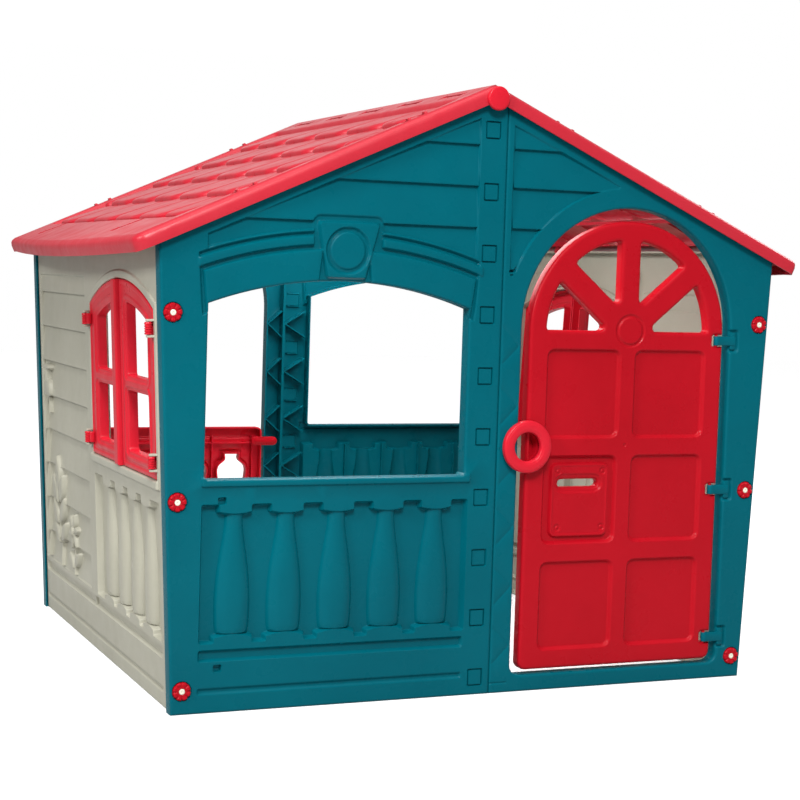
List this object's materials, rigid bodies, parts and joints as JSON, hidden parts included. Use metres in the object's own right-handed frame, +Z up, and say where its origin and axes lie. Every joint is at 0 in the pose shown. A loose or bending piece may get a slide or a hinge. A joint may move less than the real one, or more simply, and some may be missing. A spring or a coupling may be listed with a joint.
{
  "type": "plastic playhouse",
  "caption": "Child's plastic playhouse with a gabled shingle roof, arched hinged front door, rear half-door, open windows and hinged side shutters.",
  "frame": {"origin": "on the ground, at the middle of the footprint", "axes": "+X to the right as seen from the front door side, -Y towards the front door side, +Z up"},
  "size_m": [1.3678, 1.1, 1.123],
  "materials": {
    "teal_plastic": "satin, moulded",
    "red_plastic": "satin, moulded",
    "roof_red_plastic": "satin, moulded with wood grain",
    "grey_plastic": "satin, moulded with wood grain",
    "cream_plastic": "satin"
  },
  "bodies": {
    "house": {"front_window_wall": "teal_plastic", "front_door_wall": "teal_plastic", "rear_window_wall": "teal_plastic", "rear_door_wall": "teal_plastic", "left_side_wall": "grey_plastic", "right_side_wall": "grey_plastic", "roof_left": "roof_red_plastic", "roof_right": "roof_red_plastic", "ridge_cap_front": "red_plastic", "ridge_cap_rear": "red_plastic", "front_hinge_clip_lower": "teal_plastic", "front_hinge_clip_middle": "teal_plastic", "front_hinge_clip_upper": "teal_plastic", "rear_hinge_clip_lower": "teal_plastic", "rear_hinge_clip_upper": "teal_plastic", "corner_nuts_front_left": "red_plastic", "corner_nuts_front_right": "red_plastic", "corner_nuts_rear_left": "red_plastic", "corner_nuts_rear_right": "red_plastic", "corner_bolts_front_left": "cream_plastic", "corner_bolts_front_right": "cream_plastic", "corner_bolts_rear_left": "cream_plastic", "corner_bolts_rear_right": "cream_plastic"},
    "door": {"front_door": "red_plastic", "door_ring_handle": "red_plastic"},
    "half_door": {"rear_half_door": "red_plastic"},
    "latch": {"half_door_latch": "red_plastic"},
    "left_front_leaf": {"left_shutter_front": "red_plastic"},
    "left_rear_leaf": {"left_shutter_rear": "red_plastic"},
    "right_front_leaf": {"right_shutter_front": "red_plastic"},
    "right_rear_leaf": {"right_shutter_rear": "red_plastic"}
  },
  "joints": [
    {"name": "door_hinge", "type": "hinge", "parent": "house", "child": "door", "pos_m": [0.5, -0.52, 0.374], "axis": [0, 0, 1], "range_deg": [0, 110]},
    {"name": "half_door_hinge", "type": "hinge", "parent": "house", "child": "half_door", "pos_m": [-0.5, 0.52, 0.228], "axis": [0, 0, 1], "range_deg": [0, 110]},
    {"name": "latch_pivot", "type": "hinge", "parent": "house", "child": "latch", "pos_m": [-0.05, 0.496, 0.373], "axis": [0, 1, 0], "range_deg": [0, 90]},
    {"name": "left_front_leaf_hinge", "type": "hinge", "parent": "house", "child": "left_front_leaf", "pos_m": [-0.61341, -0.466, 0.55109], "axis": [-0.0469, 0, 0.9989], "range_deg": [0, 170]},
    {"name": "left_rear_leaf_hinge", "type": "hinge", "parent": "house", "child": "left_rear_leaf", "pos_m": [-0.61341, 0.008, 0.55109], "axis": [0.0469, 0, -0.9989], "range_deg": [0, 170]},
    {"name": "right_rear_leaf_hinge", "type": "hinge", "parent": "house", "child": "right_rear_leaf", "pos_m": [0.61341, 0.466, 0.55109], "axis": [0.0469, 0, 0.9989], "range_deg": [0, 170]},
    {"name": "right_front_leaf_hinge", "type": "hinge", "parent": "house", "child": "right_front_leaf", "pos_m": [0.61341, -0.008, 0.55109], "axis": [-0.0469, 0, -0.9989], "range_deg": [0, 170]}
  ]
}
